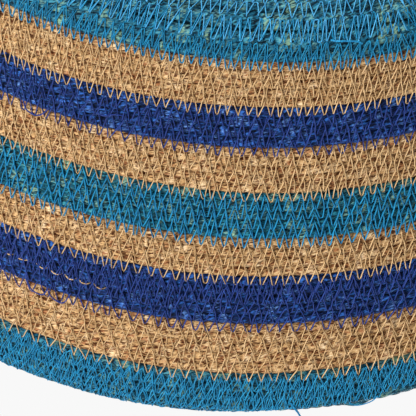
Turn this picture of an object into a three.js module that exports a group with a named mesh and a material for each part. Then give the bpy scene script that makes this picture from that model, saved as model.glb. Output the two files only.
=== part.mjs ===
// A round seagrass basket, in millimetres: +Z up, mouth up, the origin under the middle of its base.
// Twisted seagrass cord is coiled in one spiral, flat for the base and upright for the wall. The cord is
// dyed in lengths, so each colour is a piece of its own, and each one butts against the next.
import * as THREE from "three";

// Driving dimensions.
const outerRadius = 189;
const rowHeight = 6;
const cordThickness = 6;
const rowGap = 0.5;
const jointGap = 0.3;
const cornerRadius = 7;

// Turns of the base cord that lie flat round the base centre, and that stand above the corner.
const baseEdgeTurns = 4;
const baseWallTurns = 0.55;

// Where the spiral ends on the rim, in degrees from +X, and how its last stretch thins out.
const rimEndAngle = -107.5;
const rimTaperTurns = 0.28;
const rimEndShare = 0.5;

// Steps of one turn, the least step before an end as a share of a whole one, and how far out the
// widest place of the cord lies, as a share of half its thickness.
const stepsPerTurn = 24;
const endMargin = 0.02;
const shoulderShare = 0.3;

const dyes = {
  teal: { color: 0x2a7f98, roughness: 0.85 },
  tan: { color: 0xb08d64, roughness: 0.85 },
  blue: { color: 0x2a3f7e, roughness: 0.85 },
};

// The wall's cords, from the corner of the base to the rim.
const wallCords = [
  { name: "tan_cord_1", dye: "tan", turns: 5.04 },
  { name: "blue_cord_1", dye: "blue", turns: 3.95 },
  { name: "tan_cord_2", dye: "tan", turns: 5.07 },
  { name: "teal_cord", dye: "teal", turns: 4.93 },
  { name: "tan_cord_3", dye: "tan", turns: 4.05 },
  { name: "blue_cord_2", dye: "blue", turns: 4.94 },
  { name: "tan_cord_4", dye: "tan", turns: 5.02 },
  { name: "rim_cord", dye: "teal", turns: 4.5 },
];

// The spiral's middle line is measured by the length along the basket's profile: s runs out along the
// base from its centre, round the corner and up the wall, and grows by one row height a turn.
const wallRadius = outerRadius - cordThickness / 2;
const flatLength = wallRadius - cornerRadius;
const cornerLength = (Math.PI / 2) * cornerRadius;
const centreEnd = flatLength - baseEdgeTurns * rowHeight;
const baseEnd = flatLength + cornerLength + baseWallTurns * rowHeight;
const wallTurns = wallCords.reduce((sum, cord) => sum + cord.turns, 0);
const rimEnd = baseEnd + wallTurns * rowHeight;
const halfRow = (rowHeight - rowGap) / 2;
const halfCord = cordThickness / 2;

// Radius and height of the middle line at s, and the lean of the profile: 0 on the base, a quarter
// turn on the wall.
function profile(s) {
  if (s < flatLength) return { radius: s, height: halfCord, lean: 0 };
  const lean = Math.min((s - flatLength) / cornerRadius, Math.PI / 2);
  const climb = Math.max(s - flatLength - cornerLength, 0);
  return {
    radius: flatLength + cornerRadius * Math.sin(lean),
    height: halfCord + cornerRadius * (1 - Math.cos(lean)) + climb,
    lean,
  };
}

// The spiral turns clockwise, seen from above.
function angleAt(s) {
  return THREE.MathUtils.degToRad(rimEndAngle) + (2 * Math.PI * (rimEnd - s)) / rowHeight;
}

// A turn is a polygon of stepsPerTurn sides with a corner on each axis. This is the distance of its
// side from the middle at an angle, as a share of the distance of its corners.
function sideShare(angle) {
  const halfStep = Math.PI / stepsPerTurn;
  const pastCorner = THREE.MathUtils.euclideanModulo(angle, 2 * halfStep);
  return Math.cos(halfStep) / Math.cos(pastCorner - halfStep);
}

// A point of the cord's section at s: out from the wall's middle, and along the profile.
function cordPoint(s, out, along) {
  const { radius, height, lean } = profile(s);
  const angle = angleAt(s);
  const r = (radius + out * Math.sin(lean) + along * Math.cos(lean)) * sideShare(angle);
  const z = height - out * Math.cos(lean) + along * Math.sin(lean);
  return new THREE.Vector3(r * Math.cos(angle), r * Math.sin(angle), z);
}

// The cord's section at s is a kite that touches its neighbours' rows at its widest place. The last
// stretch before the rim's end thins out and stays down on the row below.
function cordSection(s) {
  const left = (rimEnd - s) / (rimTaperTurns * rowHeight);
  const share = rimEndShare + (1 - rimEndShare) * Math.min(left, 1);
  const shoulder = shoulderShare * halfCord;
  return [
    cordPoint(s, halfCord * share, -halfRow * (1 - share)),
    cordPoint(s, shoulder * share, halfRow * (2 * share - 1)),
    cordPoint(s, -halfCord * share, -halfRow * (1 - share)),
    cordPoint(s, shoulder * share, -halfRow),
  ];
}

// The places of the sections from one end to the other: both ends, and every step of the turn between.
function stations(start, end) {
  const step = rowHeight / stepsPerTurn;
  const places = [start];
  const offset = ((rimEndAngle / 360) * rowHeight + rimEnd) % step;
  const first = Math.ceil((start - offset) / step + endMargin);
  const last = Math.floor((end - offset) / step - endMargin);
  for (let i = first; i <= last; i += 1) places.push(offset + i * step);
  places.push(end);
  return places;
}

// Half a joint's gap, as a length of profile.
function jointShare(s) {
  return ((jointGap / 2) * rowHeight) / (2 * Math.PI * profile(s).radius);
}

// One unbroken cord from start to end: a skin over its sections, closed by two end faces.
function cordGeometry(start, end) {
  const rings = stations(start + jointShare(start), end - jointShare(end)).map(cordSection);
  const sides = rings[0].length;
  const faces = [];
  for (let i = 1; i < rings.length; i += 1) {
    for (let side = 0; side < sides; side += 1) {
      const next = (side + 1) % sides;
      const [a, b] = [(i - 1) * sides + side, (i - 1) * sides + next];
      const [c, d] = [i * sides + side, i * sides + next];
      faces.push(a, b, c, b, d, c);
    }
  }
  const lastRing = (rings.length - 1) * sides;
  for (let side = 1; side < sides - 1; side += 1) {
    faces.push(0, side + 1, side);
    faces.push(lastRing, lastRing + side, lastRing + side + 1);
  }
  const geometry = new THREE.BufferGeometry().setFromPoints(rings.flat());
  geometry.setIndex(faces);
  geometry.computeVertexNormals();
  return geometry;
}

// The least gap of a cord to its own next turn, measured between the corners of its sections.
function leastGap(start, end) {
  let least = Infinity;
  for (const s of stations(start, end - rowHeight)) {
    for (const corner of cordSection(s)) {
      for (const other of cordSection(s + rowHeight)) {
        least = Math.min(least, corner.distanceTo(other));
      }
    }
  }
  return least;
}

// The middle of the base is a plain round of the same thickness. Its edge is the spiral's own, with
// the step at which the base cord starts.
function baseCentreGeometry() {
  const edge = stations(centreEnd - rowHeight, centreEnd - jointShare(centreEnd)).map((s) => {
    const { x, y } = cordPoint(s, 0, halfRow);
    return new THREE.Vector2(x, y);
  });
  const outline = new THREE.Shape(edge.reverse());
  return new THREE.ExtrudeGeometry(outline, { depth: cordThickness, bevelEnabled: false });
}

function addPiece(group, name, dye, geometry) {
  const material = new THREE.MeshStandardMaterial({ ...dyes[dye], metalness: 0 });
  const piece = new THREE.Mesh(geometry, material);
  piece.name = name;
  group.add(piece);
}

const basket = new THREE.Group();
addPiece(basket, "base_centre", "teal", baseCentreGeometry());

const cords = [{ name: "base_cord", dye: "teal", turns: (baseEnd - centreEnd) / rowHeight }, ...wallCords];
let cordStart = centreEnd;
for (const { name, dye, turns } of cords) {
  const cordEnd = cordStart + turns * rowHeight;
  addPiece(basket, name, dye, cordGeometry(cordStart, cordEnd));
  console.log(`${name}: least gap to itself ${leastGap(cordStart, cordEnd).toFixed(2)} mm`);
  cordStart = cordEnd;
}

export default basket;
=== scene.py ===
"""A round seagrass basket with teal, tan and blue stripes.

Twisted cord runs in one spiral, out over the base, round the corner and up to the rim, and a zigzag thread
sews each row to the next. Cords and threads are tubes worked out from that spiral as whole arrays.
"""
import math
from collections import namedtuple

import bpy
import numpy as np
from bpy.props import FloatProperty, FloatVectorProperty, IntProperty, PointerProperty
from mathutils import Matrix, Vector


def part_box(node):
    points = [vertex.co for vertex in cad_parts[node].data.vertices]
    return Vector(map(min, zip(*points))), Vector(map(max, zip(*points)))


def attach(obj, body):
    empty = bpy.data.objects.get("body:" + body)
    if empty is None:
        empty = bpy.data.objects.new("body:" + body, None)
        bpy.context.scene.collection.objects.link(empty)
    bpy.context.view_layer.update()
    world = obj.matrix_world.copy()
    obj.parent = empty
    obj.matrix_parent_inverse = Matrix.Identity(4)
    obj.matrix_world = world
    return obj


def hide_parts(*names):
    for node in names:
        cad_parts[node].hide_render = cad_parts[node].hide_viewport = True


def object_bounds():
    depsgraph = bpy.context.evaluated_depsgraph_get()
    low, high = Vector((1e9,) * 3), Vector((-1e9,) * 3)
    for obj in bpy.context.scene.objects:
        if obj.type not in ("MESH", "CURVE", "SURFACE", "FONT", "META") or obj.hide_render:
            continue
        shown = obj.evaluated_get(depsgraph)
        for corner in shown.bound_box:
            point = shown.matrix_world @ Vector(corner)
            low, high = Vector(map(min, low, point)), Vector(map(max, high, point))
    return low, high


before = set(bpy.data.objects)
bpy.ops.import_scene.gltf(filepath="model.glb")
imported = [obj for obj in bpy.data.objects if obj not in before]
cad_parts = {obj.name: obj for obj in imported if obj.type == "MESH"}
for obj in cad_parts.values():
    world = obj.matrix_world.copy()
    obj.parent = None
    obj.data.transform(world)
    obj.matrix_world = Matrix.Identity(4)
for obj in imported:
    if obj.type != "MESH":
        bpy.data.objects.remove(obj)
cad_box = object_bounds()

bl_info = {
    "name": "Seagrass Basket",
    "version": (1, 0, 0),
    "blender": (4, 5, 0),
    "location": "View3D > Sidebar > Basket",
    "description": "Dresses the frame of a sewn seagrass basket with its cords, seams and finishes",
    "category": "Object",
}

# What the frame gives: the basket's outer radius, and the thickness of its cord.
OUTER_RADIUS = (cad_box[1].x - cad_box[0].x) / 2
CORD_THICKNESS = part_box("base_centre")[1].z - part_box("base_centre")[0].z

# Each length of cord from the end of the base's to the rim: the frame node that it stands for, its grass, the
# thread of its seam, its turns, how high its rows are beside the mean row, and its stitches' length in
# millimetres. The base's cord is cut into two pieces where the frame's base centre ends.
Cord = namedtuple("Cord", "name node grass thread turns row_share stitch")
CORDS = (
    Cord("tan_1", "tan_cord_1", "tan", "tan", 5.04, 0.960, 1.68),
    Cord("blue_1", "blue_cord_1", "blue", "blue", 3.95, 1.017, 2.00),
    Cord("tan_2", "tan_cord_2", "tan", "tan", 5.07, 0.928, 1.80),
    Cord("teal", "teal_cord", "teal", "teal", 4.93, 0.973, 1.85),
    Cord("tan_3", "tan_cord_3", "tan", "tan", 4.05, 0.971, 1.95),
    Cord("blue_2", "blue_cord_2", "blue", "blue", 4.94, 1.027, 2.20),
    Cord("tan_4", "tan_cord_4", "tan", "tan", 5.02, 1.050, 2.25),
    Cord("rim", "rim_cord", "base", "rim", 4.50, 1.003, 2.05),
)
# The height of the base's rows beside the mean row, and stitches in millimetres: on the base, at its corner,
# and where seams are sewn again, at the corner and the rim and on the second blue cord.
BASE_ROW_SHARE = 1.011
BASE_STITCH = 1.65
CORNER_STITCH = 1.5
AGAIN_STITCH = 1.7
BLUE_AGAIN_STITCH = 2.0
# Turns before the base's end where the corner's second sewing stops.
CORNER_AGAIN_LEFT = 1.2
# Each thread: its slot, its dye, its thickness and its stitches' reach beside the mean ones, and how far
# its strokes bend, as a share of a stitch. The base's is paler, a painted highlight, and the rim's is
# tangled.
Thread = namedtuple("Thread", "slot dye thickness reach bend")
THREADS = {
    "teal": Thread("teal_thread", "teal", 1.0, 1.0, 0.1),
    "base": Thread("teal_thread", "base", 0.8, 0.58, 0.12),
    "corner": Thread("teal_thread", "corner", 0.7, 0.56, 0.2),
    "rim": Thread("teal_thread", "rim", 0.68, 0.85, 0.25),
    "tan": Thread("tan_thread", "tan", 0.82, 1.0, 0.1),
    "blue": Thread("blue_thread", "blue", 0.95, 1.0, 0.12),
}
# Each dye of grass: its slot, the tone above which blades turn pale, so the lower, the more pale blades it
# has, and how broad they are, from 0, single fibres.
Grass = namedtuple("Grass", "slot pale_from pale_breadth")
GRASSES = {
    "base": Grass("teal_cord", 0.60, 0.1),
    "teal": Grass("teal_cord", 0.64, 0.7),
    "tan": Grass("tan_cord", 0.62, 1.0),
    "blue": Grass("blue_cord", 0.76, 1.4),
}

# The colours, as they look on screen. The base's grass is the rim's too.
SHADES = {
    "dark": "Shadowed blades", "mid": "Most blades", "other": "Patches of other blades",
    "pale": "Blades that took little dye",
}
GRASS_DYES = {
    "base": ("021019", "155068", "387C90", "90AC7C"),
    "teal": ("021218", "0B4C60", "2C7E90", "B0CC9C"),
    "tan": ("3C1804", "BC9666", "9C6A44", "EAD6B0"),
    "blue": ("02060F", "122656", "2E60AE", "6A95D4"),
}
# The base's, the corner's and the rim's threads are lit and shaded copies of the teal thread: the base's much
# paler and the rim's a little paler, painted highlight, and the corner's a little darker, painted shade.
THREAD_DYES = {
    "teal": "1D8DBA", "base": "52A8D4", "corner": "1C84AC", "rim": "2893BE",
    "tan": "D6B587", "blue": "243F86",
}
BACKGROUND = "F8F8F8"

# Slack stitches and loose ends of thread: name, dye, thickness in millimetres, and points as degrees round
# from +X, millimetres along the profile from the base's centre, and millimetres out from the skin. Their
# places were picked on the photograph and turned into these units by the camera's geometry.
LOOSE_THREADS = (
    ("blue_slack_1", "blue", 0.50, (
        (-67.9, 246.0, -0.3), (-68.4, 249.2, 0.5), (-69.4, 250.2, 0.7), (-70.2, 247.9, 0.5),
        (-70.8, 244.0, -0.3),
    )),
    ("blue_slack_2", "blue", 0.50, (
        (-68.9, 352.0, -0.3), (-69.3, 357.4, 0.4), (-69.9, 360.6, 0.7), (-71.0, 360.8, 0.6),
        (-71.5, 355.6, -0.3),
    )),
    ("blue_slack_3", "blue", 0.50, (
        (-71.2, 353.5, -0.3), (-71.6, 358.4, 0.4), (-72.3, 361.2, 0.7), (-73.3, 361.6, 0.6),
        (-74.0, 355.3, -0.3),
    )),
    ("tan_stray", "tan", 0.40, (
        (-66.4, 344.7, -1.6), (-66.7, 344.7, -0.3), (-67.1, 344.7, -0.3), (-67.5, 344.7, -1.6),
        (-68.0, 344.7, -0.3), (-68.6, 344.7, -0.3), (-69.5, 344.8, -1.6), (-70.5, 345.1, -0.3),
        (-70.9, 345.3, -0.3), (-71.4, 345.5, -1.6), (-71.9, 345.7, -0.3), (-72.5, 345.9, -0.3),
        (-73.0, 346.1, -1.6), (-73.6, 346.2, -0.3), (-74.1, 346.3, -0.3), (-74.6, 346.3, -1.6),
        (-75.1, 346.3, -0.3), (-75.7, 346.3, -0.3), (-76.2, 346.4, -1.6), (-76.8, 346.6, -0.3),
        (-77.3, 346.9, -0.3), (-77.8, 347.2, -1.6),
    )),
    ("tan_slack", "tan", 0.45, (
        (-81.0, 363.6, -0.2), (-82.6, 365.1, 0.4), (-84.3, 367.2, 0.5), (-85.9, 367.8, -0.2),
    )),
    ("blue_slack_4", "blue", 0.48, (
        (-75.9, 238.3, -0.2), (-76.8, 237.9, 0.5), (-77.9, 235.8, 0.5), (-78.8, 236.4, -0.2),
    )),
    ("teal_stub", "teal", 0.60, (
        (-99.7, 185.2, -0.2), (-100.3, 185.4, 0.7), (-101.3, 185.5, 0.9), (-102.4, 185.9, 0.9),
        (-102.9, 186.6, 0.6),
    )),
    ("teal_loop", "teal", 0.45, (
        (-104.3, 412.1, 0.2), (-105.0, 413.6, 0.5), (-105.9, 413.7, 0.5), (-106.8, 412.7, 0.4),
        (-107.4, 410.9, 0.0),
    )),
    ("teal_end", "teal", 0.75, (
        (-98.0, 408.8, -0.6), (-98.4, 411.1, 0.3), (-98.8, 413.7, 0.5), (-99.1, 416.7, 0.4),
    )),
)

FULL_TURN = 2 * math.pi
MM = 0.001

# The cord's length is worked out at so many places a turn.
LENGTHS_PER_TURN = 100
# The first turns bend so tightly that the cord's mesh needs rings at a steady turn as well, so many a turn.
TIGHT_TURNS = 4
TIGHT_RINGS = 40
# In the middle of the base, rings of the mesh are further apart, beside the usual step.
CENTRE_STEP = 1.35
# Points round the section of a cord, a sewn thread and a loose thread. A three-sided thread is made wider,
# to look as thick as a round one.
CORD_SIDES = 8
SEWN_SIDES = 3
LOOSE_SIDES = 6
THREE_SIDED_WIDTH = 1.15
# A cord's section beside its row: it stands a little proud, and runs a little into the rows beside it, so
# that no light shows between them.
CORD_PROUD = 1.02
CORD_OVERLAP = 1.03
# A row's height is taken at least so many turns from the ends of its cord, where the height changes.
ROW_MARGIN = 0.3

# Slow changes along a cord or a seam: how large, and the wavelength in metres. The twist's is in radians, the
# slant's and pace's are shares of a stitch, and the reach's and middle's are shares of the reach.
Drift = namedtuple("Drift", "size wavelength")
TWIST_DRIFT = Drift(2.0, 0.093)
STRAND_DRIFTS = ((Drift(1.0, 0.031), Drift(0.6, 0.0072)), (Drift(1.0, 0.037), Drift(0.6, 0.0083)))
THICKNESS_DRIFT = Drift(1.0, 0.047)
SLANT_DRIFT = Drift(0.2, 0.61)
PACE_DRIFT = Drift(0.9, 0.083)
REACH_DRIFT = Drift(0.07, 0.14)
MIDDLE_DRIFT = Drift(0.07, 0.21)
# Seeded steps from one stitch to the next, as shares of a stitch and of the reach. A few stitches, this share
# of them, reach further.
PACE_STEP = 0.13
REACH_STEP = 0.06
LONG_SHARE = 0.03
LONG_REACH = 0.25
# On the base the strokes lean over by so much of a stitch, most at this angle round the basket, and the other
# way in each next quarter round. A quarter starts so many radians before +X.
BASE_SLANT = 0.9
SLANT_MOST = math.radians(-100)
QUARTER_START = 0.3
# How far up the next row a hole may lie, as a share of the row's height. In the seam's last turn the share
# depends on the turns since it began, because the cord thins out above it.
HOLD = 0.87
LAST_TURN_PLACES = (0.0, 0.15, 0.7, 0.85)
LAST_TURN_HOLDS = (0.15, 0.42, 0.6, HOLD)
# The outer thread: where on a stroke the crowns may lie, how much less it leans near the holes, its seeded
# lift off the cord and what it gains over the lower row. As shares of its thickness: how deep it goes into a
# hole, least and extra, how high it lies on the crowns, and how wide it is at a hole.
CROWN_PLACES = (0.05, 0.95)
STROKE_EASE = 0.04
STROKE_LIFT = 0.12 * MM
LOWER_ROW_LIFT = 0.16 * MM
HOLE_DEPTH = 0.5
HOLE_DEPTH_STEP = 0.9
CROWN_HEIGHT = 0.42
HOLE_WIDTH = 2.2
# The inner thread: how wide a ring at a hole is, beside the thread, and how far off the cord it lies.
MITRE_WIDTH = 3.6
INNER_LIFT = 0.05 * MM
# Pieces of curve between two points of a loose thread.
LOOSE_STEPS = 10

# The lamps: name, place, what it shines at and width, in metres.
LAMPS = (
    ("low", (0.9, -0.9, -1.7), (0, -0.1, 0.1), 0.8),
    ("back", (0.1, 1.1, -1.7), (0, -0.1, 0), 0.8),
    ("front", (0.9, -1.8, 0.7), (0, -0.1, 0.1), 0.8),
    ("top", (-0.6, 0.9, 1.9), (0, 0, 0.1), 1.4),
)
# The floor: half its width, how far it lies under the base's cord to clear the threads, its paint beside the
# background's colour, its own glow, and the distances from its middle where it is gone and still whole.
FLOOR_HALF = 1.5
FLOOR_DEPTH = 0.6 * MM
FLOOR_PAINT = 0.97
FLOOR_GLOW = 0.22
FLOOR_GONE, FLOOR_WHOLE = 1.4, 0.6


def colour(text):
    """A colour written as it looks on screen, RRGGBB, as the linear values that a shader works with."""
    shown = np.array([int(text[i:i + 2], 16) for i in (0, 2, 4)]) / 255
    linear = np.where(shown > 0.04045, ((shown + 0.055) / 1.055) ** 2.4, shown / 12.92)
    return tuple(float(value) for value in linear) + (1.0,)


def size_property(label, text, value):
    """A length in metres that the sidebar shows in the scene's unit."""
    return FloatProperty(name=label, description=text, default=value, unit="LENGTH", precision=5)


def share_property(label, text, value):
    return FloatProperty(name=label, description=text, default=value, min=0.0)


def power_property(label, text, value):
    return FloatProperty(name=label, description=text, default=value, unit="POWER")


def dye_property(label, text, value):
    return FloatVectorProperty(
        name=label, description=text, default=colour(value), subtype="COLOR", size=4, min=0.0, max=1.0
    )


class BasketSizes(bpy.types.PropertyGroup):
    """The spiral that the cords follow."""

    outer_radius: size_property("Outer radius", "From the middle to the outside of the cords", OUTER_RADIUS)
    cord_thickness: size_property("Cord thickness", "Across one twisted cord", CORD_THICKNESS)
    row_height: size_property("Row height", "From one row of cord to the next, on average", CORD_THICKNESS)
    corner_radius: size_property("Corner radius", "Bend of the cord's middle line at the base", 7 * MM)
    first_turn: FloatProperty(
        name="First turn", description="Turn at which the cord starts, curled up on itself in the middle",
        default=-0.5,
    )
    edge_turns: share_property("Edge turns", "Flat turns outside the frame's base centre", 4.0)
    corner_turns: share_property("Corner turns", "Teal turns above the corner", 0.55)
    rim_end: FloatProperty(
        name="Rim end", description="Where the spiral ends", default=math.radians(-107.5), subtype="ANGLE"
    )
    rim_taper_turns: share_property("Rim taper", "Turns over which the last row thins", 0.28)
    rim_end_share: share_property("Rim end share", "Thickness left at the very end", 0.05)
    rim_knob: share_property("Rim knob", "Thickness that the knob at the end adds", 0.45)
    rim_knob_turns: share_property("Rim knob turns", "Where the knob is, and half its length", 0.0055)
    sway: size_property("Sway", "How far the rows wander up and down together", 0.8 * MM)
    bulge: size_property("Bulge", "How far the side wanders in and out", 0.39 * MM)
    # Each of these two seeds is the best of 60,000 tried: its waves came nearest to the stripes' edges as
    # marked on the photograph. Past the picture they are worth no more than any other seed's.
    sway_seed: IntProperty(name="Sway seed", description="Starts the sway's waves", default=47988)
    bulge_seed: IntProperty(name="Bulge seed", description="Starts the bulge's waves", default=10315)


class CordLook(bpy.types.PropertyGroup):
    """The twist of the cords."""

    lay_length: size_property("Lay length", "One full twist of the two strands", 9 * MM)
    step: size_property("Step", "Length of cord from one ring of the mesh to the next", 1.0 * MM)
    squareness: share_property("Squareness", "How far the section is squared off, from 0, a circle", 0.3)
    valley_depth: share_property("Valley depth", "Dip between two strands, as a share of the radius", 0.17)
    fibre_turn: share_property("Fibre turn", "How fast the blades turn, as a share of the strands", 0.14)
    unevenness: share_property("Unevenness", "Change in thickness along the cord", 0.07)
    seed: IntProperty(name="Seed", description="Starts the cord's random changes", default=11)


class StitchSizes(bpy.types.PropertyGroup):
    """The zigzag seams."""

    reach: size_property("Reach", "From the middle of the seam to a needle hole", 5.1 * MM)
    shift: size_property("Shift", "From the groove between two rows to the seam's middle", -0.5 * MM)
    thread: size_property("Thread thickness", "Across the sewing thread, on average", 0.52 * MM)
    first_turn: share_property("First seam", "Turn at which the first seam starts", 1.0)
    corner_turns: share_property("Corner seams", "Turns at the base's corner that are sewn again", 2.5)
    blue_turns: share_property("Blue turns", "First turns of the second blue cord that are sewn again", 2.4)
    rim_turns: share_property("Rim turns", "Turns at the rim that are sewn again", 4.2)
    bare_turns: share_property("Bare turns", "Turns at the rim that no seam reaches past", 1.02)
    seed: IntProperty(name="Seed", description="Starts the seams' random changes", default=23)


class BasketDyes(bpy.types.PropertyGroup):
    """Dark, middle, other and pale colours of each cord, and the colour of each thread."""

    __annotations__ = {
        f"{dye}_{shade}": dye_property(f"{dye.title()} cord, {shade}", SHADES[shade], value)
        for dye, values in GRASS_DYES.items() for shade, value in zip(SHADES, values)
    }
    __annotations__ |= {
        f"{dye}_thread": dye_property(f"{dye.title()} thread", "Sewing thread", value)
        for dye, value in THREAD_DYES.items()
    }
    __annotations__["background"] = dye_property("Background", "What shows round the basket", BACKGROUND)


class StageSizes(bpy.types.PropertyGroup):
    """The camera, the floor and the light."""

    distance: size_property("Distance", "From the camera to the basket", 5.0)
    picture_width: size_property("Picture width", "Across the picture, at the basket", 0.1429)
    tilt: FloatProperty(
        name="Tilt", description="From square to the side, towards the base",
        default=math.radians(57), subtype="ANGLE",
    )
    roll: FloatProperty(
        name="Roll", description="Turn of the picture", default=math.radians(3.33), subtype="ANGLE"
    )
    aim: FloatVectorProperty(
        name="Aim", description="What the middle of the picture shows",
        default=(0.0064, -0.1786, 0.1213), subtype="TRANSLATION", size=3,
    )
    low_light: share_property("Light from below", "Strength of the world's lower half", 0.7)
    high_light: share_property("Light from above", "Strength of the world's upper half", 0.5)
    low_power: power_property("Low lamp", "Power of the lamp below", 45)
    back_power: power_property("Back lamp", "Power of the lamp below the far side", 26)
    front_power: power_property("Front lamp", "Power of the lamp in front", 36)
    top_power: power_property("Top lamp", "Power of the lamp above", 45)


class Coil:
    """The spiral, in metres. A turn counts rows from the centre, and the first, negative one curls the cord's
    start through it. Reach is the length along the profile: out over the base, round a quarter circle at the
    corner, and straight up."""

    def __init__(self, sizes):
        self.sizes = sizes
        row, half = sizes.row_height, sizes.cord_thickness / 2
        self.wall_radius = sizes.outer_radius - half
        self.flat = self.wall_radius - sizes.corner_radius
        self.corner = sizes.corner_radius * math.pi / 2
        self.centre_end = self.flat / row - sizes.edge_turns
        base_end = (self.flat + self.corner) / row + sizes.corner_turns
        self.joints = base_end + np.cumsum([0.0] + [cord.turns for cord in CORDS])
        heights = [base_end * row * BASE_ROW_SHARE]
        heights += [cord.turns * row * cord.row_share for cord in CORDS]
        self.knots = np.concatenate([[-1.0], self.joints])
        self.reaches = np.concatenate([[-row * BASE_ROW_SHARE], np.cumsum(heights)])
        self.end = self.joints[-1]
        places = round((self.end - sizes.first_turn) * LENGTHS_PER_TURN)
        grid = np.linspace(sizes.first_turn, self.end, places)
        around = np.hypot(FULL_TURN * self.profile(self.reach(grid))[0], row)
        self.grid = grid
        self.lengths = np.concatenate([[0.0], np.cumsum((around[1:] + around[:-1]) / 2 * np.diff(grid))])

    def reach(self, turn):
        """Straight lines from joint to joint, so each length of cord has its own row height."""
        return np.interp(turn, self.knots, self.reaches)

    def row(self, turn):
        """Height of the row at a turn, from half a turn before it to half a turn after."""
        return self.reach(turn + 0.25) * 2 - self.reach(turn - 0.25) * 2

    def share(self, turn):
        """Thickness of the cord at a turn beside its full one. The last stretch thins towards the rim's end,
        as 1 - (1 - end share) * (1 - distance)^3, and has a knob at the end, a bell curve."""
        left = np.clip((self.end - turn) / self.sizes.rim_taper_turns, 0, 1)
        knob = (self.end - turn) / self.sizes.rim_knob_turns - 1
        thinned = 1 - (1 - self.sizes.rim_end_share) * (1 - left) ** 3
        return np.minimum(thinned + self.sizes.rim_knob * np.exp(-knob**2), 1)

    def angle(self, turn):
        """Clockwise seen from above, ending at the rim's end."""
        return self.sizes.rim_end + FULL_TURN * (self.end - turn)

    def turn_at(self, length):
        return np.interp(length, self.lengths, self.grid)

    def length_at(self, turn):
        return np.interp(turn, self.grid, self.lengths)

    def profile(self, reach):
        """Radius, height and lean of the middle line. Lean is 0 on the base, a quarter turn on the side."""
        bend = self.sizes.corner_radius
        lean = np.clip((reach - self.flat) / bend, 0, math.pi / 2)
        climb = np.maximum(reach - self.flat - self.corner, 0)
        radius = np.minimum(reach, self.flat) + bend * np.sin(lean)
        return radius, self.sizes.cord_thickness / 2 + bend * (1 - np.cos(lean)) + climb, lean

    def point(self, angle, reach, out):
        """A point out from the middle line, square to the profile. Slow waves round and up the basket move it
        along the profile and in and out, as in work sewn by hand."""
        rise = self.sizes.sway * waves(angle, reach, self.sizes.sway_seed)
        radius, height, lean = self.profile(reach + rise * np.clip(reach / self.flat, 0, 1))
        out = out + self.sizes.bulge * waves(angle, reach, self.sizes.bulge_seed) * np.sin(lean)
        ring = radius + out * np.sin(lean)
        return np.stack([ring * np.cos(angle), ring * np.sin(angle), height - out * np.cos(lean)], axis=-1)

    def outward(self, angle, reach):
        """The direction square to the profile, away from the inside."""
        lean = self.profile(reach)[2]
        return np.stack([np.sin(lean) * np.cos(angle), np.sin(lean) * np.sin(angle), -np.cos(lean)], axis=-1)


def waves(angle, reach, seed):
    """A sum of sines with whole numbers of waves round the basket, each slanted up the side by its own seeded
    amount, about -1 to 1."""
    random = np.random.default_rng(seed)
    total = np.zeros(np.broadcast(angle, reach).shape)
    for count in (2, 3, 5, 8, 13):
        slant, start = random.uniform(-90, 90), random.uniform(0, FULL_TURN)
        total += np.sin(count * angle + slant * reach + start) / math.sqrt(count)
    return total / 1.8


def drift(length, change, random):
    """A smooth random curve along a length: three sines of about the change's wavelength, times its size."""
    total = np.zeros_like(length)
    for ratio in (1.0, 0.618, 0.383):
        total += np.sin(FULL_TURN * length / (change.wavelength * ratio) + random.uniform(0, FULL_TURN))
    return change.size * (total / 3)


def tube_mesh(name, rings, attributes):
    """A closed tube: each ring of points is joined to the next by four-sided faces, and the ends are capped.
    Attributes are values or vectors, one for each point."""
    count, sides = rings.shape[:2]
    index = np.arange(count * sides).reshape(count, sides)
    after = np.roll(index, -1, axis=1)
    quads = np.stack([index[:-1], after[:-1], after[1:], index[1:]], axis=-1).reshape(-1)
    corners = np.concatenate([quads, index[0, ::-1], index[-1]])
    faces = (count - 1) * sides
    mesh = bpy.data.meshes.new(name)
    mesh.vertices.add(count * sides)
    mesh.vertices.foreach_set("co", rings.reshape(-1).astype(np.float32))
    mesh.loops.add(len(corners))
    mesh.loops.foreach_set("vertex_index", corners.astype(np.int32))
    starts = np.concatenate([np.arange(faces) * 4, [faces * 4, faces * 4 + sides]])
    mesh.polygons.add(faces + 2)
    mesh.polygons.foreach_set("loop_start", starts.astype(np.int32))
    mesh.update(calc_edges=True)
    mesh.polygons.foreach_set("use_smooth", np.ones(faces + 2, bool))
    for label, values in attributes.items():
        kind, field = ("FLOAT_VECTOR", "vector") if values.ndim == 3 else ("FLOAT", "value")
        layer = mesh.attributes.new(label, kind, "POINT")
        layer.data.foreach_set(field, values.reshape(-1).astype(np.float32))
    mesh.validate()
    return mesh


def add_piece(mesh, material, replaced=()):
    """Puts a mesh in the scene as a piece of its own name that rides on the basket's one body."""
    piece = bpy.data.objects.new(mesh.name, mesh)
    bpy.context.scene.collection.objects.link(piece)
    mesh.materials.append(material)
    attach(piece, "root")
    if replaced:
        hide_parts(*replaced)
    return piece


def squared(wave, squareness):
    """A wave from -1 to 1 raised to a power with its sign kept, flatter round its ends."""
    return np.sign(wave) * np.abs(wave) ** (1 - squareness)


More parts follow.
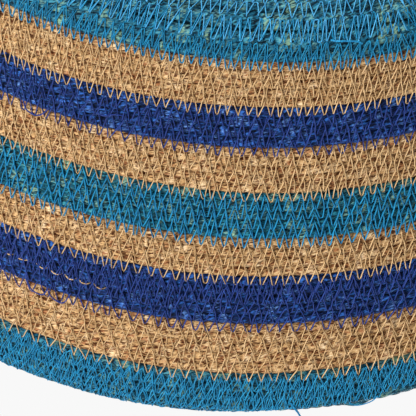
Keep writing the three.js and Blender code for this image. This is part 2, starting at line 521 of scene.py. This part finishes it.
def cord_rings(coil, look, start, end, coarse):
    """The section is a circle squared off, each part of it raised to a power under 1, because the seams press
    the rows together. It dips twice round, where the two strands meet, and the dips turn with the length:
    width out times (1 - depth * (1 - |cos(side - twist)|))."""
    sizes = coil.sizes
    random = np.random.default_rng(look.seed + int(start * 10))
    span = coil.length_at(end) - coil.length_at(start)
    steps = max(int(round(span / (look.step * coarse))), 4)
    length = np.linspace(coil.length_at(start), coil.length_at(end), steps + 1)
    tight = np.arange(start, TIGHT_TURNS, 1 / TIGHT_RINGS)
    length = np.union1d(length, coil.length_at(tight))
    turn = coil.turn_at(length)
    share = coil.share(turn)
    row = coil.row(np.clip(turn, start + ROW_MARGIN, end - ROW_MARGIN))
    sink = -row / 2 * (1 - share)
    thick = share * (1 + look.unevenness * drift(length, THICKNESS_DRIFT, random))
    twist = -FULL_TURN * length / look.lay_length + drift(length, TWIST_DRIFT, random)
    side = np.radians(np.arange(-90, 270, 360 / CORD_SIDES))
    turned = side[None, :] - twist[:, None]
    crest = np.abs(np.cos(turned))
    half = sizes.cord_thickness / 2
    dip = 1 - look.valley_depth * (1 - crest)
    out = (half * CORD_PROUD * thick)[:, None] * dip * squared(np.cos(side), look.squareness)
    along = (row / 2 * CORD_OVERLAP * share)[:, None] * squared(np.sin(side), look.squareness)
    reach = coil.reach(turn)[:, None] + along + sink[:, None]
    rings = coil.point(coil.angle(turn)[:, None], reach, out)
    strands = [
        (drift(length, slow, random) + drift(length, fast, random))[:, None] for slow, fast in STRAND_DRIFTS
    ]
    strand = np.where(np.cos(turned) > 0, *strands)
    blades = side[None, :] - look.fibre_turn * twist[:, None]
    across = half * np.stack([np.cos(blades), np.sin(blades)], axis=-1)
    grass = np.concatenate([np.broadcast_to(length[:, None, None], across[..., :1].shape), across], axis=-1)
    # Crest and groove tell the grass shader where to paint shade: in the valleys between strands and between
    # rows.
    groove = np.broadcast_to(np.abs(np.sin(side)), crest.shape)
    return rings, {"grass": grass, "crest": crest, "groove": groove, "strand": strand}


def thread_rings(path, outward, thickness, heading, spread, sides):
    """Rings of a thread along its path. Each ring stands square to its heading, one arm of it points outward,
    and spread widens it sideways, which keeps a zigzag's tips full."""
    heading = heading / np.linalg.norm(heading, axis=1, keepdims=True)
    across = np.cross(heading, outward)
    across /= np.linalg.norm(across, axis=1, keepdims=True)
    raised = np.cross(across, heading)
    around = FULL_TURN * np.arange(sides) / sides
    up, over = np.cos(around)[None, :, None], np.sin(around)[None, :, None]
    radius = thickness / 2 * (THREE_SIDED_WIDTH if sides == SEWN_SIDES else 1.0)
    rings = path[:, None] + radius * (up * raised[:, None] + over * (across * spread[:, None])[:, None])
    length = np.concatenate([[0.0], np.cumsum(np.linalg.norm(np.diff(path, axis=0), axis=1))])
    turned = np.broadcast_to(np.stack([np.cos(around), np.sin(around)], axis=-1), (len(path), sides, 2))
    lay = np.concatenate([np.broadcast_to(length[:, None, None], (len(path), sides, 1)), turned], axis=-1)
    return rings, {"lay": lay}


def needle_holes(coil, stitches, start, end, stitch, thread, seed):
    """Where the needle went in along a seam: at an even pace, to one side and the other in turn. Slow drifts
    and small seeded steps change the pace, the reach, the seam's middle and the slant. No hole lies further
    up the next row than its hold allows. Gives turns and offsets along the profile."""
    random = np.random.default_rng(stitches.seed + seed)
    first, last = coil.length_at(start), coil.length_at(end)
    count = int((last - first) / stitch)
    length = first + (np.arange(count) + 0.5) * (last - first) / count
    side = np.where(np.arange(count) % 2, 1.0, -1.0)
    turn = coil.turn_at(length)
    angle = coil.angle(turn)
    slant = drift(length, SLANT_DRIFT, random) + side_slant(angle, turn, coil)
    reach = stitches.reach * thread.reach
    length = length + stitch * (
        0.5 * side * slant + PACE_STEP * random.standard_normal(count) + drift(length, PACE_DRIFT, random)
    )
    uneven = 1 + drift(length, REACH_DRIFT, random) + REACH_STEP * random.standard_normal(count)
    offset = side * reach * uneven
    offset += stitches.shift * thread.reach + reach * drift(length, MIDDLE_DRIFT, random)
    longer = random.random(count) < LONG_SHARE
    offset += side * np.where(longer, LONG_REACH * reach, 0.0)
    turn = coil.turn_at(np.sort(length))
    row_edge = coil.row(np.minimum(turn, coil.end - ROW_MARGIN)) * coil.share(turn + 1)
    past_start = turn + 2 - coil.end
    held = np.where(past_start < 0, HOLD, np.interp(past_start, LAST_TURN_PLACES, LAST_TURN_HOLDS))
    return turn, np.minimum(offset, row_edge * held)


def side_slant(angle, turn, coil):
    """On the base one stroke of each zigzag leans over more than the other, by a cosine round the basket."""
    flat = np.clip(coil.joints[0] - 1 - turn, 0, 1)
    return flat * BASE_SLANT * np.cos(angle - SLANT_MOST) * np.sign(np.sin(angle * 2 + 2 * QUARTER_START))


def seam_reach(coil, turn):
    """A seam lies halfway between a row and the next."""
    return (coil.reach(turn) + coil.reach(turn + 1)) / 2


def outer_seam(coil, stitches, start, end, stitch, thread, seed):
    """The needle's thread. From each hole it rises to the crown of one row, runs straight to the crown of the
    other and goes down into the next hole. Its strokes lean a little less near the holes, by a sine, and
    seeded steps bend them."""
    turn, offset = needle_holes(coil, stitches, start, end, stitch, thread, seed)
    thickness = stitches.thread * thread.thickness
    random = np.random.default_rng(stitches.seed + seed + 1000)
    half = coil.sizes.cord_thickness / 2
    gap_turn, gap_offset = np.diff(turn)[:, None], np.diff(offset)[:, None]
    share = coil.share(turn[:-1] + 1)
    near, far = np.full_like(share, -1.0), share
    crowns = np.where(gap_offset > 0, np.stack([near, far], axis=1), np.stack([far, near], axis=1))
    along_stroke = (crowns * coil.sizes.row_height / 2 - offset[:-1, None]) / gap_offset
    along_stroke = np.clip(along_stroke, *CROWN_PLACES)
    along_stroke = np.concatenate([np.zeros((len(share), 1)), along_stroke], axis=1)
    along_seam = along_stroke + STROKE_EASE * np.sin(FULL_TURN * along_stroke)
    at_crown = np.array([False, True, True])
    bends = thread.bend * random.standard_normal(along_stroke.shape) * at_crown
    turns = turn[:-1, None] + gap_turn * along_seam + bends * gap_turn.mean()
    offsets = offset[:-1, None] + gap_offset * along_stroke
    lift = STROKE_LIFT * random.standard_normal(along_stroke.shape)
    over_last_row = LOWER_ROW_LIFT * (offsets < 0)
    crown = half * np.where(offsets > 0, coil.share(turns + 1), 1.0)
    depth = thickness * (HOLE_DEPTH + HOLE_DEPTH_STEP * random.random((len(share), 1)))
    out = crown + np.where(at_crown, CROWN_HEIGHT * thickness + lift + over_last_row, -depth)
    turns, out = turns.reshape(-1), out.reshape(-1)
    reach = seam_reach(coil, turns) + offsets.reshape(-1)
    angle = coil.angle(turns)
    path = coil.point(angle, reach, out)
    stroke = np.repeat(path[3::3] - path[:-3:3], 3, axis=0)
    stroke = np.concatenate([stroke, np.repeat(stroke[-1:], 3, axis=0)])
    at_hole = np.tile([True, False, False], len(turns) // 3)
    along_row = np.stack([np.sin(angle), -np.cos(angle), np.zeros_like(angle)], axis=-1)
    heading = np.where(at_hole[:, None], along_row, stroke)
    spread = np.where(at_hole, HOLE_WIDTH, 1.0)
    return thread_rings(path, coil.outward(angle, reach), thickness, heading, spread, SEWN_SIDES)


def inner_seam(coil, stitches, start, end, stitch, thread, seed):
    """The bobbin's thread, a flat zigzag on the inside. Rings stand square to the seam at the holes and are
    spread as a mitre, so one ring serves each stroke."""
    turn, offset = needle_holes(coil, stitches, start, end, stitch, thread, seed)
    thickness = stitches.thread * thread.thickness
    half = coil.sizes.cord_thickness / 2
    reach = seam_reach(coil, turn) + offset * (1 - thickness * MITRE_WIDTH / 2 / stitches.reach)
    angle = coil.angle(turn)
    path = coil.point(angle, reach, np.full_like(turn, -half - INNER_LIFT))
    along_row = np.stack([np.sin(angle), -np.cos(angle), np.zeros_like(angle)], axis=-1)
    widths = np.full_like(turn, MITRE_WIDTH)
    return thread_rings(path, -coil.outward(angle, reach), thickness, along_row, widths, SEWN_SIDES)


def loose_rings(coil, stitches, thickness, points):
    """A loose thread: a smooth curve through its points, each piece of it a cubic whose slopes are set by the
    points on both sides."""
    points = np.array(points)
    before = np.concatenate([points[:1] * 2 - points[1:2], points, points[-1:] * 2 - points[-2:-1]])
    t = np.linspace(0, 1, LOOSE_STEPS, endpoint=False)[None, :, None]
    p0, p1, p2, p3 = (before[i:len(before) - 3 + i, None] for i in range(4))
    square, cube = 2 * p0 - 5 * p1 + 4 * p2 - p3, 3 * p1 - p0 - 3 * p2 + p3
    curve = (2 * p1 + (p2 - p0) * t + square * t**2 + cube * t**3) / 2
    curve = np.concatenate([curve.reshape(-1, 3), points[-1:]])
    angle, reach = np.radians(curve[:, 0]), curve[:, 1] * MM
    skin = coil.sizes.cord_thickness / 2 + stitches.thread
    path = coil.point(angle, reach, skin + curve[:, 2] * MM)
    heading = np.gradient(path, axis=0)
    widths = np.ones(len(path))
    return thread_rings(path, coil.outward(angle, reach), thickness * MM, heading, widths, LOOSE_SIDES)


def place(tree, kind, inputs=None, **settings):
    """Adds one shader node. Settings are its own properties. Inputs are its sockets by name or number, each
    given a plain value or another node's output."""
    node = tree.nodes.new(kind)
    for key, value in settings.items():
        setattr(node, key, value)
    for key, value in (inputs or {}).items():
        if isinstance(value, bpy.types.NodeSocket):
            tree.links.new(value, node.inputs[key])
        else:
            node.inputs[key].default_value = value
    return node


def math_node(tree, operation, *values):
    return place(tree, "ShaderNodeMath", dict(enumerate(values)), operation=operation).outputs[0]


def mixed(tree, share, first, second):
    """First where share is 0, second where it is 1."""
    inputs = {"Factor": share, "A": first, "B": second}
    node = tree.nodes.new("ShaderNodeMix")
    node.data_type = "RGBA"
    for socket in node.inputs:
        if not socket.enabled:
            continue
        value = inputs[socket.name]
        if isinstance(value, bpy.types.NodeSocket):
            tree.links.new(value, socket)
        else:
            socket.default_value = value
    return next(socket for socket in node.outputs if socket.enabled)


def streaks(tree, vector, scale, detail):
    """Noise on a stretched vector, so its spots become streaks."""
    stretched = place(tree, "ShaderNodeVectorMath", {0: vector, 1: scale}, operation="MULTIPLY")
    inputs = {"Vector": stretched.outputs[0], "Scale": 1.0, "Detail": detail}
    return place(tree, "ShaderNodeTexNoise", inputs).outputs["Fac"]


def between(tree, value, low, high):
    """0 below low, 1 above high, and straight between."""
    node = place(tree, "ShaderNodeMapRange", {"Value": value, "From Min": low, "From Max": high})
    return node.outputs[0]


def new_group(name, inputs, outputs):
    """A node group with its sockets, each a name and a type."""
    tree = bpy.data.node_groups.new(name, "ShaderNodeTree")
    for label, kind in inputs:
        tree.interface.new_socket(name=label, in_out="INPUT", socket_type=kind)
    for label, kind in outputs:
        tree.interface.new_socket(name=label, in_out="OUTPUT", socket_type=kind)
    return tree, tree.nodes.new("NodeGroupInput"), tree.nodes.new("NodeGroupOutput")


def grass_group():
    """Dried grass: fine fibres and broader blades run along the cord, and each strand has its own tone.
    Painted shade darkens the valleys between strands, the grooves between rows and small pits among the
    blades."""
    colours = [(label, "NodeSocketColor") for label in ("Dark", "Middle", "Other", "Pale")]
    colours += [("Pale from", "NodeSocketFloat"), ("Pale breadth", "NodeSocketFloat")]
    outputs = [("Color", "NodeSocketColor"), ("Height", "NodeSocketFloat")]
    tree, given, result = new_group("Twisted grass", colours, outputs)
    grass = place(tree, "ShaderNodeAttribute", attribute_name="grass").outputs["Vector"]
    crest = place(tree, "ShaderNodeAttribute", attribute_name="crest").outputs["Fac"]
    groove = place(tree, "ShaderNodeAttribute", attribute_name="groove").outputs["Fac"]
    strand = place(tree, "ShaderNodeAttribute", attribute_name="strand").outputs["Fac"]
    fibre = streaks(tree, grass, (650, 3000, 3000), 2.0)
    blade = streaks(tree, grass, (380, 1150, 1150), 1.0)
    pit = streaks(tree, grass, (620, 1100, 1100), 0.0)
    tone = math_node(tree, "MULTIPLY_ADD", strand, 0.16, -1.6)
    tone = math_node(tree, "MULTIPLY_ADD", fibre, 2.4, tone)
    tone = math_node(tree, "MULTIPLY_ADD", blade, 1.8, tone)
    patch = streaks(tree, grass, (380, 800, 800), 0.0)
    middle = mixed(tree, between(tree, patch, 0.5, 0.68), given.outputs["Middle"], given.outputs["Other"])
    # Blades run from the dark colour to the middle one: partly their own tone, partly painted shade in the
    # crevices among them.
    low = mixed(tree, between(tree, tone, 0.05, 0.5), given.outputs["Dark"], middle)
    straw = math_node(tree, "MULTIPLY_ADD", strand, 0.4, -0.4)
    straw = math_node(tree, "MULTIPLY_ADD", fibre, 1.8, straw)
    broad = math_node(tree, "SUBTRACT", blade, 0.5)
    straw = math_node(tree, "MULTIPLY_ADD", broad, given.outputs["Pale breadth"], straw)
    high = mixed(tree, between(tree, straw, given.outputs["Pale from"], 1.4), low, given.outputs["Pale"])
    # Painted shade: near the valleys between strands, the grooves between rows and the pits, the colour turns
    # to the dark one.
    valley_shade = math_node(tree, "MULTIPLY", between(tree, crest, 0.35, 0.0), 0.5)
    groove_shade = math_node(tree, "MULTIPLY", between(tree, groove, 0.72, 1.0), 0.65)
    hole = math_node(tree, "MULTIPLY", between(tree, pit, 0.45, 0.35), 0.8)
    shade = math_node(tree, "MAXIMUM", math_node(tree, "MAXIMUM", valley_shade, groove_shade), hole)
    shaded = mixed(tree, shade, high, given.outputs["Dark"])
    tree.links.new(shaded, result.inputs["Color"])
    tree.links.new(math_node(tree, "ADD", fibre, blade), result.inputs["Height"])
    return tree


def twist_group():
    """Sewing thread: two plies that turn round it, sin(turn round the thread + length), a little uneven. The
    shade, from the plies and from noise along the thread, is painted shade.
    """
    outputs = [("Shade", "NodeSocketFloat"), ("Height", "NodeSocketFloat")]
    tree, _, result = new_group("Twisted thread", [], outputs)
    lay = place(tree, "ShaderNodeAttribute", attribute_name="lay").outputs["Vector"]
    parts = place(tree, "ShaderNodeSeparateXYZ", {0: lay}).outputs
    phase = math_node(tree, "MULTIPLY", parts["X"], FULL_TURN / (0.9 * MM))
    first = math_node(tree, "MULTIPLY", math_node(tree, "SINE", phase), parts["Y"])
    second = math_node(tree, "MULTIPLY", math_node(tree, "COSINE", phase), parts["Z"])
    ply = math_node(tree, "ADD", first, second)
    fuzz = streaks(tree, lay, (900, 1.5, 1.5), 1.0)
    shade_patches = streaks(tree, lay, (60, 0.2, 0.2), 1.0)
    shade = math_node(tree, "MULTIPLY_ADD", ply, 0.10, math_node(tree, "ADD", fuzz, shade_patches))
    tree.links.new(between(tree, shade, 0.75, 1.2), result.inputs["Shade"])
    tree.links.new(math_node(tree, "MULTIPLY_ADD", fuzz, 0.5, ply), result.inputs["Height"])
    return tree


def surface_material(name, roughness, gloss):
    material = bpy.data.materials.new(name)
    material.use_nodes = True
    tree = material.node_tree
    shader = next(node for node in tree.nodes if node.type == "BSDF_PRINCIPLED")
    shader.inputs["Roughness"].default_value = roughness
    shader.inputs["Specular IOR Level"].default_value = gloss
    return material, tree, shader


def roughen(tree, shader, height, distance, strength):
    bump = place(tree, "ShaderNodeBump", {"Height": height, "Distance": distance, "Strength": strength})
    tree.links.new(bump.outputs["Normal"], shader.inputs["Normal"])


def cord_material(dyes, dye):
    """One dye of seagrass cord."""
    name = f"{dye} seagrass"
    if name in bpy.data.materials:
        return bpy.data.materials[name]
    group = bpy.data.node_groups.get("Twisted grass") or grass_group()
    material, tree, shader = surface_material(name, 0.62, 0.05)
    labels = ("Dark", "Middle", "Other", "Pale")
    inputs = {label: getattr(dyes, f"{dye}_{shade}") for label, shade in zip(labels, SHADES)}
    inputs.update({"Pale from": GRASSES[dye].pale_from, "Pale breadth": GRASSES[dye].pale_breadth})
    grass = place(tree, "ShaderNodeGroup", node_tree=group)
    for label, value in inputs.items():
        grass.inputs[label].default_value = value
    tree.links.new(grass.outputs["Color"], shader.inputs["Base Color"])
    roughen(tree, shader, grass.outputs["Height"], 0.25 * MM, 0.7)
    return material


def thread_material(dyes, dye):
    """One dye of sewing thread: its own colour, mixed with a darker copy of it, painted shade between the
    plies and in patches along it.
    """
    name = f"{dye} thread"
    if name in bpy.data.materials:
        return bpy.data.materials[name]
    group = bpy.data.node_groups.get("Twisted thread") or twist_group()
    material, tree, shader = surface_material(name, 0.5, 0.16)
    bright = np.array(getattr(dyes, f"{dye}_thread"))
    twist = place(tree, "ShaderNodeGroup", node_tree=group)
    # A darker, more saturated copy of the thread's colour: painted shade.
    dark = tuple(bright[:3] ** 1.4 * 0.6) + (1.0,)
    shaded = mixed(tree, twist.outputs["Shade"], dark, tuple(bright))
    tree.links.new(shaded, shader.inputs["Base Color"])
    roughen(tree, shader, twist.outputs["Height"], 0.03 * MM, 0.5)
    return material


class BASKET_OT_cords(bpy.types.Operator):
    """Adds every length of twisted cord in place of its frame node"""

    bl_idname = "basket.add_cords"
    bl_label = "Cords"

    def execute(self, context):
        scene = context.scene
        look, dyes = scene.basket_cords, scene.basket_dyes
        coil = Coil(scene.basket_sizes)
        spans = [
            ("base_centre", "base", coil.sizes.first_turn, coil.centre_end, CENTRE_STEP, "base_centre"),
            ("base_edge", "base", coil.centre_end, coil.joints[0], 1.0, "base_cord"),
        ]
        for cord, start, end in zip(CORDS, coil.joints, coil.joints[1:]):
            spans.append((cord.name, cord.grass, start, end, 1.0, cord.node))
        for name, dye, start, end, coarse, node in spans:
            rings, attributes = cord_rings(coil, look, start, end, coarse)
            mesh = tube_mesh(f"cord_{name}", rings, attributes)
            add_piece(mesh, cord_material(dyes, dye), (node,))
        return {"FINISHED"}


class BASKET_OT_seams(bpy.types.Operator):
    """Adds the outer and the inner thread of each colour of seam"""

    bl_idname = "basket.add_seams"
    bl_label = "Seams"

    def execute(self, context):
        scene = context.scene
        stitches, dyes = scene.basket_stitches, scene.basket_dyes
        coil = Coil(scene.basket_sizes)
        corner, last = coil.joints[0], coil.end - stitches.bare_turns
        edge = corner - stitches.corner_turns
        spans = [("base", "base", stitches.first_turn, edge, BASE_STITCH),
                 ("corner_first", "corner", edge, corner - 1, CORNER_STITCH),
                 ("corner", "teal", corner - 1, corner, CORNER_STITCH)]
        for cord, start, end in zip(CORDS, coil.joints, coil.joints[1:]):
            spans.append((cord.name, cord.thread, start, min(end, last), cord.stitch))
        blue = coil.joints[5]
        spans.append(("blue_2_second", "blue", blue, blue + stitches.blue_turns, BLUE_AGAIN_STITCH))
        spans.append(("corner_second", "corner", edge - 1, corner - CORNER_AGAIN_LEFT, AGAIN_STITCH))
        spans.append(("rim_second", "rim", coil.end - stitches.rim_turns, last, AGAIN_STITCH))
        spans.append(("rim_third", "rim", coil.end - stitches.rim_turns, last, AGAIN_STITCH))
        for seed, (name, kind, start, end, stitch) in enumerate(spans):
            thread = THREADS[kind]
            sides = [("outer", outer_seam), ("inner", inner_seam)]
            for side, seam in sides[:1] if name.endswith(("second", "third")) else sides:
                rings, attributes = seam(coil, stitches, start, end, stitch * MM, thread, seed)
                mesh = tube_mesh(f"{side}_thread_{name}", rings, attributes)
                add_piece(mesh, thread_material(dyes, thread.dye))
        return {"FINISHED"}


class BASKET_OT_loose_threads(bpy.types.Operator):
    """Adds the slack stitches and loose thread ends"""

    bl_idname = "basket.add_loose_threads"
    bl_label = "Loose threads"

    def execute(self, context):
        scene = context.scene
        coil = Coil(scene.basket_sizes)
        for name, dye, thickness, points in LOOSE_THREADS:
            rings, attributes = loose_rings(coil, scene.basket_stitches, thickness, points)
            mesh = tube_mesh(f"loose_{name}", rings, attributes)
            add_piece(mesh, thread_material(scene.basket_dyes, dye))
        return {"FINISHED"}


def floor_material(background):
    """A pale floor that only a camera above it sees. From below, and for every other ray, it is clear."""
    material = bpy.data.materials.new("pale floor")
    material.use_nodes = True
    tree = material.node_tree
    tree.nodes.clear()
    painted = tuple(value * FLOOR_PAINT for value in background[:3]) + (1.0,)
    paint = place(tree, "ShaderNodeBsdfDiffuse", {"Color": painted})
    glow = place(tree, "ShaderNodeEmission", {"Color": background, "Strength": FLOOR_GLOW})
    lit = place(tree, "ShaderNodeAddShader", {0: paint.outputs[0], 1: glow.outputs[0]})
    clear = place(tree, "ShaderNodeBsdfTransparent")
    back = place(tree, "ShaderNodeNewGeometry").outputs["Backfacing"]
    camera = place(tree, "ShaderNodeLightPath").outputs["Is Camera Ray"]
    spot = place(tree, "ShaderNodeTexCoord").outputs["Object"]
    distance = place(tree, "ShaderNodeVectorMath", {0: spot}, operation="LENGTH").outputs["Value"]
    fade = between(tree, distance, FLOOR_GONE, FLOOR_WHOLE)
    shown = math_node(tree, "MULTIPLY", camera, math_node(tree, "SUBTRACT", 1.0, back))
    shown = math_node(tree, "MULTIPLY", shown, fade)
    surface = place(tree, "ShaderNodeMixShader", {0: shown, 1: clear.outputs[0], 2: lit.outputs[0]})
    output = tree.nodes.new("ShaderNodeOutputMaterial")
    tree.links.new(surface.outputs[0], output.inputs["Surface"])
    return material


def light_world(scene, stage, background):
    """A soft white room, brighter below than above, behind a plain background."""
    world = bpy.data.worlds.new("soft room")
    world.use_nodes = True
    scene.world = world
    tree = world.node_tree
    tree.nodes.clear()
    direction = place(tree, "ShaderNodeTexCoord").outputs["Generated"]
    height = place(tree, "ShaderNodeSeparateXYZ", {0: direction}).outputs["Z"]
    inputs = {"Value": height, "From Min": -0.6, "From Max": 0.6}
    inputs.update({"To Min": stage.low_light, "To Max": stage.high_light})
    strength = place(tree, "ShaderNodeMapRange", inputs).outputs[0]
    room = place(tree, "ShaderNodeBackground", {"Color": (1, 1, 1, 1), "Strength": strength})
    plain = place(tree, "ShaderNodeBackground", {"Color": background, "Strength": 1.0})
    rays = place(tree, "ShaderNodeLightPath").outputs
    seen = math_node(tree, "MAXIMUM", rays["Is Camera Ray"], rays["Is Glossy Ray"])
    seen = math_node(tree, "MAXIMUM", seen, rays["Is Transmission Ray"])
    both = place(tree, "ShaderNodeMixShader", {0: seen, 1: room.outputs[0], 2: plain.outputs[0]})
    output = tree.nodes.new("ShaderNodeOutputWorld")
    tree.links.new(both.outputs[0], output.inputs["Surface"])


def add_lamp(scene, name, place_at, aim, size, power):
    """A square soft lamp at a place, turned to shine at an aim."""
    light = bpy.data.lights.new(name, "AREA")
    light.size = size
    light.energy = power
    lamp = bpy.data.objects.new(name, light)
    scene.collection.objects.link(lamp)
    lamp.location = place_at
    lamp.rotation_euler = (Vector(aim) - Vector(place_at)).to_track_quat("-Z", "Y").to_euler()


def add_camera(scene, stage):
    """The camera looks up at the side and the base from below, so the picture's up is down the side and its
    right is -X. Roll turns that frame."""
    view = Vector((0, math.cos(stage.tilt), math.sin(stage.tilt)))
    right, up = Vector((-1, 0, 0)), Vector((0, math.sin(stage.tilt), -math.cos(stage.tilt)))
    turned_right = right * math.cos(stage.roll) + up * math.sin(stage.roll)
    turned_up = up * math.cos(stage.roll) - right * math.sin(stage.roll)
    camera = bpy.data.objects.new("camera", bpy.data.cameras.new("camera"))
    scene.collection.objects.link(camera)
    camera.data.sensor_width = 36
    camera.data.lens = camera.data.sensor_width * stage.distance / stage.picture_width
    camera.data.clip_start = 0.1
    camera.data.clip_end = 100
    turn = Matrix((turned_right, turned_up, -view)).transposed().to_4x4()
    camera.matrix_world = Matrix.Translation(Vector(stage.aim) - view * stage.distance) @ turn
    scene.camera = camera


class BASKET_OT_stage(bpy.types.Operator):
    """Adds the floor, the light and the camera"""

    bl_idname = "basket.add_stage"
    bl_label = "Stage"

    def execute(self, context):
        scene = context.scene
        stage, background = scene.basket_stage, tuple(scene.basket_dyes.background)
        half, below = FLOOR_HALF, -FLOOR_DEPTH
        corners = [(-half, -half, below), (half, -half, below), (half, half, below), (-half, half, below)]
        mesh = bpy.data.meshes.new("floor")
        mesh.from_pydata(corners, [], [(0, 1, 2, 3)])
        mesh.materials.append(floor_material(background))
        floor = bpy.data.objects.new("floor", mesh)
        scene.collection.objects.link(floor)
        light_world(scene, stage, background)
        for name, lamp_place, aim, size in LAMPS:
            add_lamp(scene, f"{name} lamp", lamp_place, aim, size, getattr(stage, f"{name}_power"))
        add_camera(scene, stage)
        scene.view_settings.view_transform = "Standard"
        return {"FINISHED"}


class BASKET_PT_sidebar(bpy.types.Panel):
    """The basket's settings and steps"""

    bl_label = "Seagrass Basket"
    bl_idname = "BASKET_PT_sidebar"
    bl_space_type = "VIEW_3D"
    bl_region_type = "UI"
    bl_category = "Basket"

    def draw(self, context):
        for label, name, _ in SETTINGS:
            box = self.layout.box()
            box.label(text=label)
            group = getattr(context.scene, name)
            for key in group.__annotations__:
                box.prop(group, key)
        for operator in OPERATORS:
            self.layout.operator(operator.bl_idname)


SETTINGS = (
    ("Sizes", "basket_sizes", BasketSizes),
    ("Cords", "basket_cords", CordLook),
    ("Stitches", "basket_stitches", StitchSizes),
    ("Dyes", "basket_dyes", BasketDyes),
    ("Stage", "basket_stage", StageSizes),
)
OPERATORS = (BASKET_OT_stage, BASKET_OT_cords, BASKET_OT_seams, BASKET_OT_loose_threads)


def register():
    for _, name, group in SETTINGS:
        bpy.utils.register_class(group)
        setattr(bpy.types.Scene, name, PointerProperty(type=group))
    for item in (*OPERATORS, BASKET_PT_sidebar):
        bpy.utils.register_class(item)


def unregister():
    for item in (BASKET_PT_sidebar, *reversed(OPERATORS)):
        bpy.utils.unregister_class(item)
    for _, name, group in reversed(SETTINGS):
        delattr(bpy.types.Scene, name)
        bpy.utils.unregister_class(group)


def main():
    register()
    bpy.ops.basket.add_stage()
    bpy.ops.basket.add_cords()
    bpy.ops.basket.add_seams()
    bpy.ops.basket.add_loose_threads()


if __name__ == "__main__":
    main()
